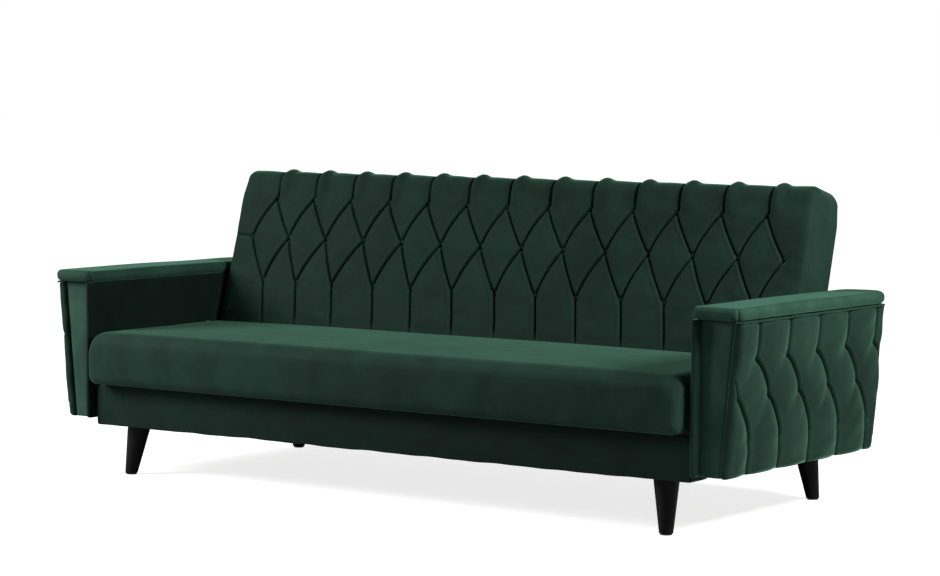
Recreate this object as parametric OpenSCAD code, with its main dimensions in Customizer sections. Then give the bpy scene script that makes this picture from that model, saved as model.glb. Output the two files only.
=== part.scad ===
// Upholstered sofa bed with a reclining back and a lifting seat over a bedding box.
// Millimetres. +X runs along the sofa, -Y is the front, +Z is up, feet stand on z = 0.

/* [Overall sizes] */
// Length of the seat and back cushions
bed_w = 1960; // [1400:10:2200]
// Thickness of the seat and of the back
cushion_t = 150; // [120:1:170]
// Distance from the back's hinge axis to the rear of the bedding box
hinge_to_rear = 261; // [200:1:320]
// Distance the seat stands forward of the bedding box
seat_overhang = 57; // [20:1:80]
// Angle of the back from upright, in degrees
back_lean = 15.5; // [8:0.5:25]
// Length of the back above its hinge
back_len = 523; // [420:1:600]
// Distance from the seat's front to the back's hinge axis
seat_reach = 642; // [560:1:700]

/* [Cushions] */
// Length of the back below its hinge
back_tail = 60; // [50:1:66]
// Corner radius at the back's lower end
tail_round = 45; // [40:1:50]
// Corner radius at the back's top
top_round = 30; // [10:1:45]
// Corner radius at the seat's front
front_round = 34; // [10:1:50]
// Corner radius at the seat's top rear edge
rear_round = 20; // [8:1:25]
// Gap between the seat's rear face and the back's front face
cushion_gap = 6; // [5:0.5:10]
// Thickness of padding wrapped round the frames
wrap_t = 18; // [10:1:25]
// Height of the frame rails
rail_h = 38; // [30:1:45]
// Width of the frame rails
rail_w = 30; // [24:1:40]
// Thickness of the webbing straps
strap_t = 2; // [1:0.5:4]
// Width of the webbing straps
strap_w = 60; // [40:1:80]
// Number of webbing straps in each frame
strap_count = 14; // [8:1:18]
// Gap between the seat's underside and the bedding box
seat_gap = 12; // [8:0.5:20]
// Thickness of the dust cloth and of the back's rear cover
cloth_t = 2; // [1:0.5:3]

/* [Bedding box] */
// Thickness of the box boards
board_t = 18; // [15:1:25]
// Height of the box
box_h = 106; // [80:1:108]
// Distance from the end of the cushions in to the outside of the box
box_inset = 17; // [10:1:30]
// Thickness of the padded front cover
cover_t = 6; // [3:1:10]
// How far the velvet front passes the box at each end, to close the gap to the arm
cover_past = 25; // [18:1:28]
// Thickness of the floor panel
floor_t = 5; // [3:1:8]
// Size of the square corner blocks
block_size = 110; // [100:1:130]
// Height of the corner blocks
block_h = 30; // [20:1:40]
// Width of the middle floor rail
mid_rail_w = 50; // [30:1:70]
// Height of the middle floor rail
mid_rail_h = 20; // [15:1:30]
// Height of the rails outside the box
side_rail_h = 60; // [50:1:70]

/* [Legs] */
// Distance from the floor to the underside of the box
leg_h = 144; // [100:1:160]
// Diameter of a leg at its top
leg_top_d = 68; // [50:1:76]
// Diameter of a leg at its foot
leg_foot_d = 36; // [28:1:50]
// Distance from the end of the box in to the centre of a foot
foot_inset_x = 67; // [50:1:90]
// Distance from the front or rear of the box in to the centre of a foot
foot_inset_y = 42; // [38:1:80]
// Splay of a leg along the sofa
splay_x = 13; // [0:1:30]
// Splay of a leg towards the front or rear
splay_y = 21; // [0:1:30]
// Thickness of a foot glide
glide_t = 4; // [3:1:8]
// Diameter of a foot glide
glide_d = 30; // [20:1:34]
// Size of the square leg plates
plate_size = 88; // [80:1:100]
// Thickness of the leg plates
plate_t = 2; // [2:0.5:4]
// Diameter of the leg screws
screw_d = 5; // [3:0.5:6]
// Distance of a leg screw from the edges of its plate
screw_inset = 10; // [8:1:14]

/* [Arms] */
// Gap from the end of the cushions to the inner face of an arm
arm_gap = 14; // [14:0.5:20]
// Width of an arm under its cap
arm_w = 138; // [110:1:180]
// Distance the arm's outer face leans in over its height
arm_taper = 38; // [0:1:50]
// Height of an arm's underside above the underside of the box
arm_lift = 15; // [0:1:30]
// Height of an arm under its cap
arm_h = 389; // [320:1:460]
// Thickness of an arm's cap
cap_t = 34; // [25:1:45]
// Distance the cap stands out past the arm's outer face
cap_over = 6; // [6:1:12]
// Distance an arm runs behind the back's hinge axis
arm_past_hinge = 187; // [150:1:240]
// Distance the arms stand forward of the bedding box
arm_forward = 8; // [0:1:20]
// Distance an arm's inner pad stands forward of its outer pad
inner_forward = 14; // [0:1:20]
// Thickness of an arm's inner pad
inner_pad_t = 20; // [12:1:25]
// Thickness of an arm's outer pad
outer_pad_t = 24; // [15:1:30]
// Depth of the recess of an arm's front panel
panel_recess = 10; // [4:1:16]
// Thickness of an arm's front and rear panels
panel_t = 8; // [5:1:12]
// Wall of an arm's wooden frame
arm_wall = 15; // [10:1:20]
// Plan corner radius at the front of a cap
cap_front_round = 20; // [5:1:30]
// Plan corner radius at the rear of a cap
cap_rear_round = 44; // [5:1:50]
// Diameter of the piping under a cap
welt_d = 5; // [4:0.5:6]
// Diameter of the bolts that hold an arm
arm_bolt_d = 8; // [6:1:10]
// Distance of the rear arm bolts from the arm's rear
arm_bolt_inset = 67; // [60:1:80]

/* [Mechanism] */
// Thickness of the fixed side plates
plate_steel_t = 3; // [2.5:0.1:3.5]
// Thickness of the levers
lever_t = 3; // [2.5:0.1:3.5]
// Diameter of the hinge pins
pin_d = 12; // [8:1:16]
// Radial running clearance of a lever on its pin
pin_clear = 0.05; // [0.02:0.01:0.1]
// Thickness of a pin's heads
pin_head_t = 2; // [1.5:0.1:2]
// Gap between a lever and its pin's inner head
head_gap = 0.2; // [0.1:0.05:0.4]
// Gap between a lever and the fixed plate
lever_gap = 1; // [0.5:0.1:1.2]
// Distance from a seat pin forward of the seat's rounded rear edge centre
seat_pin_set = 15; // [10:1:25]
// Diameter of the spacer sleeves behind the levers
sleeve_d = 18; // [14:1:22]
// Diameter of the lever bolts
lever_bolt_d = 8; // [6:1:10]

/* [Hidden] */
$fn = 48;
fabric = [0.16, 0.27, 0.23];
dark_cloth = [0.10, 0.11, 0.11];
timber = [0.76, 0.62, 0.42];
board = [0.70, 0.56, 0.38];
black_wood = [0.06, 0.06, 0.06];
steel = [0.55, 0.56, 0.58];
plastic = [0.12, 0.12, 0.12];

// Across the sofa
half_bed = bed_w / 2;
half_box = half_bed - box_inset;
arm_in = half_bed + arm_gap;
core_in = arm_in + inner_pad_t;
arm_out_top = arm_in + arm_w;
arm_out_bottom = arm_out_top - arm_taper;
half_frame = half_bed - wrap_t;

// Front to rear: the origin is midway between the seat's front and the box's rear
seat_front = -(seat_reach + hinge_to_rear) / 2;
back_y = seat_front + seat_reach;
box_front_y = seat_front + seat_overhang;
box_rear_y = back_y + hinge_to_rear;
box_depth = box_rear_y - box_front_y;
arm_front_y = box_front_y - arm_forward;
arm_rear_y = back_y + arm_past_hinge;

// Heights
box_top = leg_h + box_h;
seat_bottom = box_top + seat_gap;
seat_top = seat_bottom + cushion_t;
half_t = cushion_t / 2;
arm_bottom = leg_h + arm_lift;
cap_bottom = arm_bottom + arm_h;

// Back hinge axis, and the seat hinge axis near the seat's top rear edge
hinge_z = seat_top - half_t;
face_off = half_t + cushion_gap;
seat_pin_z = seat_top - rear_round;
round_y = seat_rear_at(seat_pin_z) - rear_round / cos(back_lean);
seat_pin_y = round_y - seat_pin_set;

// Mechanism layers across the sofa, from the arm inwards
plate_out = arm_in - pin_head_t - 0.5;
plate_in = plate_out - plate_steel_t;
lever_out = plate_in - lever_gap;
lever_in = lever_out - lever_t;
pin_in = lever_in - pin_head_t;

// Seat frame and back frame extents
seat_frame_y0 = seat_front + wrap_t;
seat_frame_y1 = seat_rear_at(seat_bottom) - wrap_t;
seat_frame_z0 = seat_bottom + cloth_t;
seat_frame_z1 = seat_frame_z0 + rail_h;
back_frame_y1 = half_t - cloth_t - 1;
back_frame_y0 = back_frame_y1 - rail_h;
back_frame_z0 = -back_tail + tail_round;
back_frame_z1 = back_len - wrap_t;
lever_rail_y = back_frame_y0 + rail_h / 2;
seat_bolts_y = [seat_pin_y - 170, seat_pin_y - 70];
seat_bolt_z = seat_frame_z0 + rail_h / 2;
back_bolts_z = [110, 190];
side_rail_z0 = box_top - side_rail_h - 8;
side_rail_y0 = box_front_y + 90;
side_rail_y1 = box_rear_y - 70;
plate_y0 = seat_pin_y - 25;
plate_y1 = back_y + 60;
arm_bolts_y = [side_rail_y0 + 60, arm_rear_y - arm_bolt_inset];
arm_bolt_z = side_rail_z0 + side_rail_h / 2;
plate_bolts_y = [plate_y0 + 30, (plate_y0 + plate_y1) / 2, plate_y1 - 30];
// Slack round a bolt in its hole
hole_slack = 0.5;

function seat_rear_at(z) = back_y - face_off / cos(back_lean) + (z - hinge_z) * tan(back_lean);
function arc(cx, cy, r, a0, a1, n = 8) =
    [for (i = [0:n]) [cx + r * cos(a0 + (a1 - a0) * i / n), cy + r * sin(a0 + (a1 - a0) * i / n)]];
function arm_outer_at(z) = arm_out_bottom + arm_taper * (z - arm_bottom) / (cap_bottom - arm_bottom);

// Draws a Y-Z outline and gives it length along X
module along_x(x0, x1) {
    translate([x0, 0, 0]) rotate([90, 0, 90]) linear_extrude(x1 - x0) children();
}
// Draws an X-Z outline and gives it length along Y
module along_y(y0, y1) {
    translate([0, y1, 0]) rotate([90, 0, 0]) linear_extrude(y1 - y0) children();
}
module block(x0, x1, y0, y1, z0, z1) {
    translate([x0, y0, z0]) cube([x1 - x0, y1 - y0, z1 - z0]);
}
module rod_x(x0, x1, y, z, d) {
    translate([x0, y, z]) rotate([0, 90, 0]) cylinder(d = d, h = x1 - x0);
}
// Draws its children on the right, or mirrored on the left
module on_left() { mirror([1, 0, 0]) children(); }
module both_ends() {
    children();
    on_left() children();
}
module four_corners() {
    for (sy = [0, 1]) both_ends() mirror([0, sy, 0]) children();
}
// Moves the box's own centre line onto the frame's Y = 0
module about_box() { translate([0, (box_front_y + box_rear_y) / 2, 0]) children(); }

// ---- bedding box ----
half_depth = box_depth / 2 - cover_t / 2;
module box_centre() { translate([0, (box_front_y + cover_t + box_rear_y) / 2, 0]) children(); }
module cross_board(y0) {
    block(-half_box + board_t, half_box - board_t, y0, y0 + board_t, leg_h + floor_t, box_top);
}
module end_board() {
    difference() {
        block(half_box - board_t, half_box, box_front_y + cover_t, box_rear_y, leg_h + floor_t, box_top);
        arm_bolt_holes();
        plate_screw_shanks();
    }
}
module box_front() { color(board) cross_board(box_front_y + cover_t); }
module box_rear() { color(board) cross_board(box_rear_y - board_t); }
module box_right() { color(board) end_board(); }
module box_left() { color(board) on_left() end_board(); }
module box_floor() {
    color(timber) difference() {
        block(-half_box, half_box, box_front_y + cover_t, box_rear_y, leg_h, leg_h + floor_t);
        leg_screw_shanks();
    }
}
module floor_rail() {
    color(timber) block(-mid_rail_w / 2, mid_rail_w / 2, box_front_y + cover_t + board_t,
        box_rear_y - board_t, leg_h + floor_t, leg_h + floor_t + mid_rail_h);
}
module corner_blocks() {
    x1 = half_box - board_t;
    y1 = half_depth - board_t;
    z0 = leg_h + floor_t;
    color(timber) difference() {
        box_centre() four_corners() block(x1 - block_size, x1, y1 - block_size, y1, z0, z0 + block_h);
        leg_screw_shanks();
    }
}
module front_cover() {
    color(fabric) block(-half_box - cover_past, half_box + cover_past, box_front_y, box_front_y + cover_t, leg_h, box_top);
}

// ---- legs ----
plate_x = half_box - foot_inset_x - splay_x;
plate_y = box_depth / 2 - foot_inset_y - splay_y;
foot_x = half_box - foot_inset_x;
foot_y = box_depth / 2 - foot_inset_y;
leg_top_z = leg_h - plate_t;
module leg() {
    skin = 0.2;
    color(black_wood) hull() {
        translate([plate_x, plate_y, leg_top_z - skin]) cylinder(d = leg_top_d, h = skin, $fn = 64);
        translate([foot_x, foot_y, glide_t]) cylinder(d = leg_foot_d, h = skin, $fn = 64);
    }
}
module leg_front_right() { about_box() mirror([0, 1, 0]) leg(); }
module leg_front_left() { about_box() on_left() mirror([0, 1, 0]) leg(); }
module leg_rear_right() { about_box() leg(); }
module leg_rear_left() { about_box() on_left() leg(); }
module leg_plates() {
    s = plate_size / 2;
    color(steel) difference() {
        about_box() four_corners()
            block(plate_x - s, plate_x + s, plate_y - s, plate_y + s, leg_top_z, leg_h);
        leg_screw_shanks();
    }
}
module leg_screw_spots() {
    s = plate_size / 2 - screw_inset;
    about_box() four_corners() for (sx = [-1, 1], sy = [-1, 1])
        translate([plate_x + sx * s, plate_y + sy * s, 0]) children();
}
module leg_screw_shanks() {
    leg_screw_spots() translate([0, 0, leg_top_z]) cylinder(d = screw_d, h = plate_t + floor_t + 16);
}
module leg_screws() {
    color(steel) {
        leg_screw_shanks();
        leg_screw_spots() translate([0, 0, leg_top_z - 2]) cylinder(d = 2 * screw_d, h = 2);
    }
}
module foot_glides() {
    color(plastic) about_box() four_corners()
        translate([foot_x, foot_y, 0]) cylinder(d = glide_d, h = glide_t);
}

// ---- rails and plates that join the box, the arms and the hinges ----
module side_rail() {
    difference() {
        block(half_box, plate_in, side_rail_y0, side_rail_y1, side_rail_z0, side_rail_z0 + side_rail_h);
        arm_bolt_holes();
        plate_screw_shanks();
    }
}
module side_rail_right() { color(timber) side_rail(); }
module side_rail_left() { color(timber) on_left() side_rail(); }
module mechanism_plate() {
    difference() {
        along_x(plate_in, plate_out) union() {
            polygon([
                [plate_y0, side_rail_z0], [plate_y1, side_rail_z0], [plate_y1, side_rail_z0 + side_rail_h],
                [back_y + 36, hinge_z], [back_y, hinge_z + 36], [seat_pin_y, seat_pin_z + 18],
                [seat_pin_y - 18, seat_pin_z], [plate_y0, side_rail_z0 + side_rail_h]
            ]);
            translate([back_y, hinge_z]) circle(r = 36);
            translate([seat_pin_y, seat_pin_z]) circle(r = 18);
        }
        rod_x(plate_in - 1, plate_out + 1, back_y, hinge_z, pin_d);
        rod_x(plate_in - 1, plate_out + 1, seat_pin_y, seat_pin_z, pin_d);
        plate_screw_shanks();
    }
}
module mechanism_plate_right() { color(steel) mechanism_plate(); }
module mechanism_plate_left() { color(steel) on_left() mechanism_plate(); }
module plate_screw_shanks() {
    for (y = plate_bolts_y) rod_x(half_box - 12, plate_out, y, arm_bolt_z, screw_d);
}
module plate_screws() {
    color(steel) both_ends() union() {
        plate_screw_shanks();
        for (y = plate_bolts_y) rod_x(plate_out, plate_out + 1.5, y, arm_bolt_z, 2.4 * screw_d);
    }
}
module hinge_pin(y, z) {
    union() {
        rod_x(pin_in, plate_out, y, z, pin_d);
        rod_x(pin_in, lever_in - head_gap, y, z, 2 * pin_d);
        rod_x(plate_out, plate_out + pin_head_t, y, z, 1.5 * pin_d);
    }
}
module seat_pins() { color(steel) both_ends() hinge_pin(seat_pin_y, seat_pin_z); }
module back_pins() { color(steel) both_ends() hinge_pin(back_y, hinge_z); }
module arm_bolt_holes() {
    for (y = arm_bolts_y) rod_x(half_box - board_t - 1, core_in + arm_wall + 1, y, arm_bolt_z,
        arm_bolt_d + 2 * hole_slack);
}
module arm_washers() {
    color(steel) both_ends() difference() {
        for (y = arm_bolts_y) rod_x(plate_in, arm_in, y, arm_bolt_z, 4 * arm_bolt_d);
        arm_bolt_holes();
    }
}
module arm_bolts() {
    head_x = half_box - board_t;
    color(steel) both_ends() for (y = arm_bolts_y) union() {
        rod_x(head_x, core_in + arm_wall + 12, y, arm_bolt_z, arm_bolt_d);
        rod_x(head_x - 5, head_x, y, arm_bolt_z, 2.2 * arm_bolt_d);
        rod_x(core_in + arm_wall, core_in + arm_wall + 7, y, arm_bolt_z, 2 * arm_bolt_d);
    }
}

// ---- arms ----
module arm_slab(x0_top, x0_bottom, x1_top, x1_bottom, y0, y1) {
    along_y(y0, y1) polygon([
        [x0_bottom, arm_bottom], [x1_bottom, arm_bottom], [x1_top, cap_bottom], [x0_top, cap_bottom]
    ]);
}
core_out_top = arm_out_top - outer_pad_t;
core_out_bottom = arm_out_bottom - outer_pad_t;
core_y0 = arm_front_y + panel_recess + panel_t;
core_y1 = arm_rear_y - panel_recess - panel_t;
module arm_frame() {
    difference() {
        arm_slab(core_in, core_in, core_out_top, core_out_bottom, core_y0, core_y1);
        along_y(core_y0 + arm_wall, core_y1 - arm_wall) polygon([
            [core_in + arm_wall, arm_bottom + arm_wall],
            [core_out_bottom - arm_wall, arm_bottom + arm_wall],
            [core_out_top - arm_wall, cap_bottom - arm_wall], [core_in + arm_wall, cap_bottom - arm_wall]
        ]);
        arm_bolt_holes();
    }
}
module arm_inner_pad() {
    r = inner_pad_t * 0.45;
    y0 = arm_front_y - inner_forward;
    difference() {
        translate([0, 0, arm_bottom]) linear_extrude(cap_bottom - arm_bottom) polygon(concat(
            arc(arm_in + r, y0 + r, r, 180, 270), arc(core_in - r, y0 + r, r, 270, 360),
            [[core_in, arm_rear_y], [arm_in, arm_rear_y]]));
        arm_bolt_holes();
    }
}
module arm_panel(y0) {
    arm_slab(core_in, core_in, core_out_top, core_out_bottom, y0, y0 + panel_t);
}
module arm_outer_pad() {
    arm_slab(core_out_top, core_out_bottom, arm_out_top, arm_out_bottom, arm_front_y, arm_rear_y);
}
module arm_cap() {
    x0 = arm_in - 2;
    x1 = arm_out_top + cap_over;
    y0 = arm_front_y - inner_forward - 3;
    y1 = arm_rear_y;
    f = cap_front_round;
    r = cap_rear_round;
    translate([0, 0, cap_bottom]) linear_extrude(cap_t) polygon(concat(
        [[x0, y0]], arc(x1 - f, y0 + f, f, 270, 360), arc(x1 - r, y1 - r, r, 0, 90), [[x0, y1]]));
}
module arm_welt() {
    y0 = arm_front_y + 1;
    translate([arm_out_top + welt_d / 2, y0, cap_bottom - welt_d / 2 - 0.2]) rotate([-90, 0, 0])
        cylinder(d = welt_d - 0.4, h = arm_rear_y - y0 - cap_rear_round);
}
module arm_frame_right() { color(timber) arm_frame(); }
module arm_frame_left() { color(timber) on_left() arm_frame(); }
module arm_inner_pad_right() { color(fabric) arm_inner_pad(); }
module arm_inner_pad_left() { color(fabric) on_left() arm_inner_pad(); }
module arm_front_panel_right() { color(fabric) arm_panel(core_y0 - panel_t); }
module arm_front_panel_left() { color(fabric) on_left() arm_panel(core_y0 - panel_t); }
module arm_rear_panel_right() { color(fabric) arm_panel(core_y1); }
module arm_rear_panel_left() { color(fabric) on_left() arm_panel(core_y1); }
module arm_outer_pad_right() { color(fabric) arm_outer_pad(); }
module arm_outer_pad_left() { color(fabric) on_left() arm_outer_pad(); }
module arm_cap_right() { color(fabric) arm_cap(); }
module arm_cap_left() { color(fabric) on_left() arm_cap(); }
module arm_welt_right() { color(fabric) arm_welt(); }
module arm_welt_left() { color(fabric) on_left() arm_welt(); }

// ---- frames shared by the seat and the back: a ladder of rails with three cross rails ----
module ladder(y0, y1, z0, z1, across_z) {
    // across_z: true for the back, whose rails run up Z, false for the seat, whose rails run along Y
    inner = half_frame - rail_w;
    mid = rail_w / 2;
    union() {
        for (x = [-half_frame, inner]) block(x, x + rail_w, y0, y1, z0, z1);
        for (k = [-1, 0, 1]) block(k * inner / 2 - mid, k * inner / 2 + mid, y0, y1, z0, z1);
        if (across_z) {
            block(-half_frame, half_frame, y0, y1, z0, z0 + rail_w);
            block(-half_frame, half_frame, y0, y1, z1 - rail_w, z1);
        } else {
            block(-half_frame, half_frame, y0, y0 + rail_w, z0, z1);
            block(-half_frame, half_frame, y1 - rail_w, y1, z0, z1);
        }
    }
}
function strap_x(i) = -half_frame + (i + 0.5) * 2 * half_frame / strap_count;

// ---- seat ----
module seat_outline() {
    f = front_round;
    b = 10;
    r = rear_round;
    polygon(concat(
        arc(seat_front + b, seat_bottom + b, b, 180, 270),
        [[seat_rear_at(seat_bottom), seat_bottom]],
        arc(round_y, seat_pin_z, r, -back_lean, 90),
        arc(seat_front + f, seat_top - f, f, 90, 180)));
}
module seat_cushion() {
    color(fabric) difference() {
        along_x(-half_bed, half_bed) seat_outline();
        block(-half_frame, half_frame, seat_frame_y0, seat_frame_y1, seat_bottom - 1, seat_frame_z1 + strap_t);
        for (y = seat_bolts_y) both_ends() rod_x(half_frame - 1, half_bed + 1, y, seat_bolt_z, sleeve_d + 1);
    }
}
module seat_frame() {
    color(timber) difference() {
        ladder(seat_frame_y0, seat_frame_y1, seat_frame_z0, seat_frame_z1, false);
        seat_bolt_shanks();
    }
}
module seat_webbing() {
    color(dark_cloth) for (i = [0:strap_count - 1])
        block(strap_x(i) - strap_w / 2, strap_x(i) + strap_w / 2, seat_frame_y0, seat_frame_y1,
            seat_frame_z1, seat_frame_z1 + strap_t);
}
module seat_dust_cloth() {
    color(dark_cloth) block(-half_frame, half_frame, seat_frame_y0, seat_frame_y1, seat_bottom, seat_frame_z0);
}
module seat_bolt_shanks() {
    for (y = seat_bolts_y) both_ends()
        rod_x(half_frame - rail_w, lever_out, y, seat_bolt_z, lever_bolt_d);
}
module lever_bolt(y, z) {
    union() {
        difference() {
            rod_x(half_frame, lever_in, y, z, sleeve_d);
            rod_x(half_frame - 1, lever_in + 1, y, z, lever_bolt_d);
        }
        rod_x(half_frame - rail_w, lever_out, y, z, lever_bolt_d);
    }
}
module seat_lever_bolts() {
    color(steel) both_ends() for (y = seat_bolts_y) lever_bolt(y, seat_bolt_z);
}
module seat_lever() {
    w = 16;
    difference() {
        along_x(lever_in, lever_out) union() {
            polygon([
                [seat_bolts_y[0] - w, seat_bolt_z - w], [seat_pin_y - 20, seat_bolt_z - w],
                [seat_pin_y + w, seat_pin_z], [seat_pin_y - w, seat_pin_z],
                [seat_pin_y - 60, seat_bolt_z + w], [seat_bolts_y[0] - w, seat_bolt_z + w]
            ]);
            translate([seat_pin_y, seat_pin_z]) circle(r = w);
        }
        rod_x(lever_in - 1, lever_out + 1, seat_pin_y, seat_pin_z, pin_d + 2 * pin_clear);
        for (y = seat_bolts_y) rod_x(lever_in - 1, lever_out + 1, y, seat_bolt_z, lever_bolt_d);
    }
}
module seat_lever_right() { color(steel) seat_lever(); }
module seat_lever_left() { color(steel) on_left() seat_lever(); }

// ---- back, drawn upright about its hinge axis and then leaned ----
module lean() { translate([0, back_y, hinge_z]) rotate([-back_lean, 0, 0]) children(); }
module back_outline() {
    t = tail_round;
    r = top_round;
    polygon(concat(
        arc(-half_t + t, -back_tail + t, t, 180, 270), arc(half_t - t, -back_tail + t, t, 270, 360),
        arc(half_t - r, back_len - r, r, 0, 90), arc(-half_t + r, back_len - r, r, 90, 180)));
}
module back_cushion() {
    color(fabric) lean() difference() {
        along_x(-half_bed, half_bed) back_outline();
        block(-half_frame, half_frame, back_frame_y0 - strap_t, half_t + 1, back_frame_z0, back_frame_z1);
        for (z = back_bolts_z) both_ends() rod_x(half_frame - 1, half_bed + 1, lever_rail_y, z, sleeve_d + 1);
    }
}
module back_frame() {
    color(timber) lean() difference() {
        ladder(back_frame_y0, back_frame_y1, back_frame_z0, back_frame_z1, true);
        for (z = back_bolts_z) both_ends()
            rod_x(half_frame - rail_w, half_frame + 1, lever_rail_y, z, lever_bolt_d);
    }
}
module back_webbing() {
    color(dark_cloth) lean() for (i = [0:strap_count - 1])
        block(strap_x(i) - strap_w / 2, strap_x(i) + strap_w / 2, back_frame_y0 - strap_t, back_frame_y0,
            back_frame_z0, back_frame_z1);
}
module back_rear_cover() {
    color(fabric) lean() block(-half_frame, half_frame, back_frame_y1, back_frame_y1 + cloth_t,
        back_frame_z0, back_frame_z1);
}
module back_lever_bolts() {
    color(steel) lean() both_ends() for (z = back_bolts_z) lever_bolt(lever_rail_y, z);
}
module back_lever() {
    w = 16;
    lean() difference() {
        along_x(lever_in, lever_out) union() {
            polygon([
                [-26, 0], [26, 0], [lever_rail_y + w, back_bolts_z[0] - w],
                [lever_rail_y + w, back_bolts_z[1] + w], [lever_rail_y - w, back_bolts_z[1] + w],
                [lever_rail_y - w, back_bolts_z[0] - w]
            ]);
            circle(r = 26);
        }
        rod_x(lever_in - 1, lever_out + 1, 0, 0, pin_d + 2 * pin_clear);
        for (z = back_bolts_z) rod_x(lever_in - 1, lever_out + 1, lever_rail_y, z, lever_bolt_d);
    }
}
module back_lever_right() { color(steel) back_lever(); }
module back_lever_left() { color(steel) on_left() back_lever(); }

box_front();
box_rear();
box_left();
box_right();
box_floor();
floor_rail();
corner_blocks();
front_cover();
side_rail_left();
side_rail_right();
leg_front_left();
leg_front_right();
leg_rear_left();
leg_rear_right();
leg_plates();
leg_screws();
foot_glides();
mechanism_plate_left();
mechanism_plate_right();
plate_screws();
seat_pins();
back_pins();
arm_washers();
arm_bolts();
arm_frame_left();
arm_frame_right();
arm_inner_pad_left();
arm_inner_pad_right();
arm_front_panel_left();
arm_front_panel_right();
arm_rear_panel_left();
arm_rear_panel_right();
arm_outer_pad_left();
arm_outer_pad_right();
arm_cap_left();
arm_cap_right();
arm_welt_left();
arm_welt_right();
seat_cushion();
seat_frame();
seat_webbing();
seat_dust_cloth();
seat_lever_left();
seat_lever_right();
seat_lever_bolts();
back_cushion();
back_frame();
back_webbing();
back_rear_cover();
back_lever_left();
back_lever_right();
back_lever_bolts();
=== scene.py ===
import bpy
import bmesh
import math
import numpy as np
from mathutils import Matrix, Vector


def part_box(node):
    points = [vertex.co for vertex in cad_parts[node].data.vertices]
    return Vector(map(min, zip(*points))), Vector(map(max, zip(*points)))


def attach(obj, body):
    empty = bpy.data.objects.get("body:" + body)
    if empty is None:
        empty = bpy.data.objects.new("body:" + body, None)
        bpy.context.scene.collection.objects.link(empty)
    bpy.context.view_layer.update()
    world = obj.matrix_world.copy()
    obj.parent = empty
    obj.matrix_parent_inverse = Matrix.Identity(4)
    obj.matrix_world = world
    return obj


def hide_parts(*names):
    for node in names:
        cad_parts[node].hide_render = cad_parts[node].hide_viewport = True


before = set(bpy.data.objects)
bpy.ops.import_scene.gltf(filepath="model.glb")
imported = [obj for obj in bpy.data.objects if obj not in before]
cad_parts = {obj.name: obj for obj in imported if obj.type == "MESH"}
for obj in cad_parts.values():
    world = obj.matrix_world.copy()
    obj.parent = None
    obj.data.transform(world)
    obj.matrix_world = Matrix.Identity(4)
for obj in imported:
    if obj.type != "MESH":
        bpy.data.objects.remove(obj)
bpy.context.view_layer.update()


# ---------------------------------------------------------------- the studio
# A pale seamless floor in a white room, a wide faint soft box overhead, a soft
# box at the front left and another high on the right.
def put(node, **values):
    """Sets a node's own inputs; _ stands for a space in a socket's name."""
    for name, value in values.items():
        node.inputs[name.replace("_", " ")].default_value = value


def blank(name):
    """A new material, its nodes and links, and its shader."""
    material = bpy.data.materials.new(name)
    material.use_nodes = True
    nodes, links = material.node_tree.nodes, material.node_tree.links
    return material, nodes, links, nodes["Principled BSDF"]


floor_mesh = bpy.data.meshes.new("studio_floor")
floor_mesh.from_pydata([(-60, -60, 0), (60, -60, 0), (60, 60, 0), (-60, 60, 0)], [], [(0, 1, 2, 3)])
floor = bpy.data.objects.new("studio_floor", floor_mesh)
bpy.context.scene.collection.objects.link(floor)
pale_floor, nodes, links, floor_shader = blank("pale studio floor")
put(floor_shader, Base_Color=(0.40, 0.40, 0.40, 1), Roughness=0.9, Emission_Color=(1, 1, 1, 1))
# the floor shades only near the sofa, and runs into the white studio further off
where, away, fade, seen, glow = (nodes.new("ShaderNode" + kind)
                                 for kind in ("TexCoord", "VectorMath", "MapRange", "LightPath", "Math"))
away.operation, glow.operation = "LENGTH", "MULTIPLY"
fade.interpolation_type = "SMOOTHSTEP"
put(fade, From_Min=1.3, From_Max=3.2, To_Min=0.80, To_Max=1.0)
for start, end in ((where.outputs["Object"], away.inputs[0]), (away.outputs["Value"], fade.inputs["Value"]),
                   (fade.outputs["Result"], glow.inputs[0]), (seen.outputs["Is Camera Ray"], glow.inputs[1]),
                   (glow.outputs[0], floor_shader.inputs["Emission Strength"])):
    links.new(start, end)
floor_mesh.materials.append(pale_floor)

world = bpy.data.worlds.new("white studio")
bpy.context.scene.world = world
world.use_nodes = True
# the studio is white to look at, but its far walls light the sofa less than the soft boxes do
sky = world.node_tree.nodes["Background"]
put(sky, Color=(1, 1, 1, 1))
seen, level = world.node_tree.nodes.new("ShaderNodeLightPath"), world.node_tree.nodes.new("ShaderNodeMapRange")
put(level, To_Min=0.17, To_Max=1.0)
world.node_tree.links.new(seen.outputs["Is Camera Ray"], level.inputs["Value"])
world.node_tree.links.new(level.outputs["Result"], sky.inputs["Strength"])
bpy.context.scene.view_settings.view_transform = "Standard"


def soft_box(name, place, aim, width, height, watts):
    light = bpy.data.lights.new(name, "AREA")
    light.shape, light.size, light.size_y, light.energy = "RECTANGLE", width, height, watts
    lamp = bpy.data.objects.new(name, light)
    lamp.location = place
    lamp.rotation_euler = (Vector(aim) - Vector(place)).to_track_quat("-Z", "Y").to_euler()
    bpy.context.scene.collection.objects.link(lamp)
    lamp.visible_camera = False


soft_box("overhead_soft_box", (-0.3, -0.4, 3.1), (-0.1, 0, 0.3), 3.4, 1.8, 14)
soft_box("front_left_soft_box", (-2.6, -2.0, 1.7), (-1.1, -0.4, 0.5), 1.2, 1.2, 220)
soft_box("right_soft_box", (3.3, -0.2, 2.1), (1.1, 0, 0.6), 1.1, 0.8, 310)

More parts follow.
